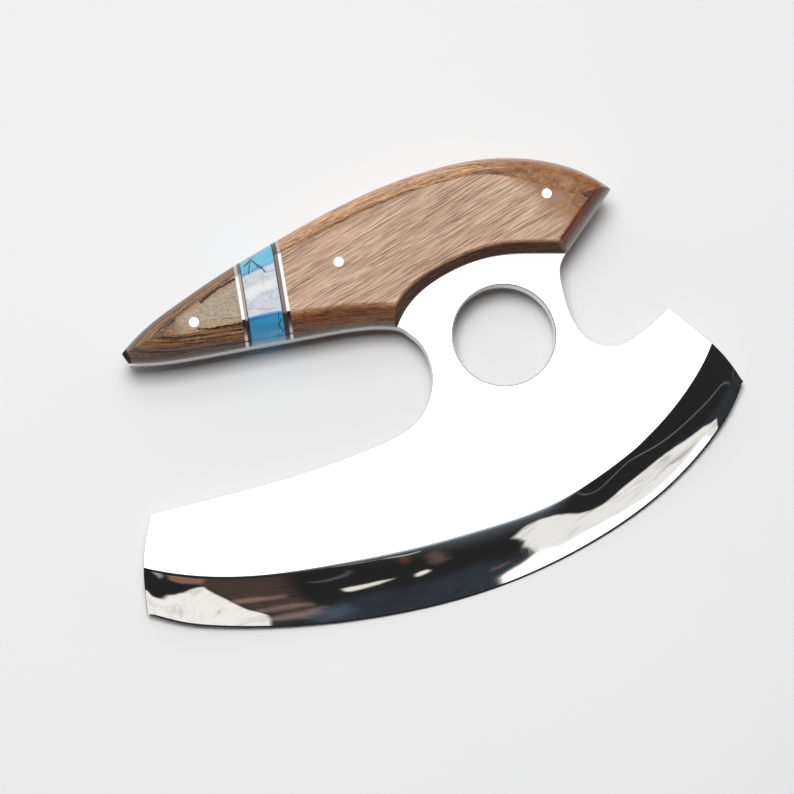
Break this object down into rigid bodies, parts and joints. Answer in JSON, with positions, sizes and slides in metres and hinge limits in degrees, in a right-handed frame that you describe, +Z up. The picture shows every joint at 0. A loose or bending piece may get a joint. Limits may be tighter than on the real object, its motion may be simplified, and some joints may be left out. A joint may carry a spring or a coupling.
{
  "type": "rocking pizza knife",
  "caption": "One-handed rocking pizza knife: thick polished steel blade with a long curved edge, a round finger hole and a pinned laminated wood handle with a stone inlay.",
  "frame": {"origin": "bottom centre of the bounding box, with the knife lying on its rear face as on a table", "axes": "+X along the straight chord of the cutting edge, from the end below the handle's tip to the horn end; +Y from the cutting edge towards the handle; +Z up, out of the front face"},
  "size_m": [0.205, 0.1338, 0.0263],
  "materials": {
    "polished_steel": "mirror polished",
    "laminate_cap": "polished resin-bonded laminate",
    "laminate_main": "polished resin-bonded laminate",
    "laminate_strip": "polished resin-bonded laminate",
    "turquoise_stone": "polished, dark web veins",
    "spacer_metal": "polished",
    "black_liner": "satin fibre sheet",
    "pin_steel": "ground flush and polished"
  },
  "bodies": {
    "root": {"blade": "polished_steel", "front_end_cap": "laminate_cap", "front_main_scale": "laminate_main", "front_stone_inlay": "turquoise_stone", "front_metal_spacer_tip": "spacer_metal", "front_metal_spacer_main": "spacer_metal", "front_wood_strip_tip": "laminate_strip", "front_wood_strip_main": "laminate_strip", "front_black_liner_tip": "black_liner", "front_black_liner_main": "black_liner", "rear_end_cap": "laminate_cap", "rear_main_scale": "laminate_main", "rear_stone_inlay": "turquoise_stone", "rear_metal_spacer_tip": "spacer_metal", "rear_metal_spacer_main": "spacer_metal", "rear_wood_strip_tip": "laminate_strip", "rear_wood_strip_main": "laminate_strip", "rear_black_liner_tip": "black_liner", "rear_black_liner_main": "black_liner", "pin_tip": "pin_steel", "pin_middle": "pin_steel", "pin_front": "pin_steel"}
  },
  "joints": []
}
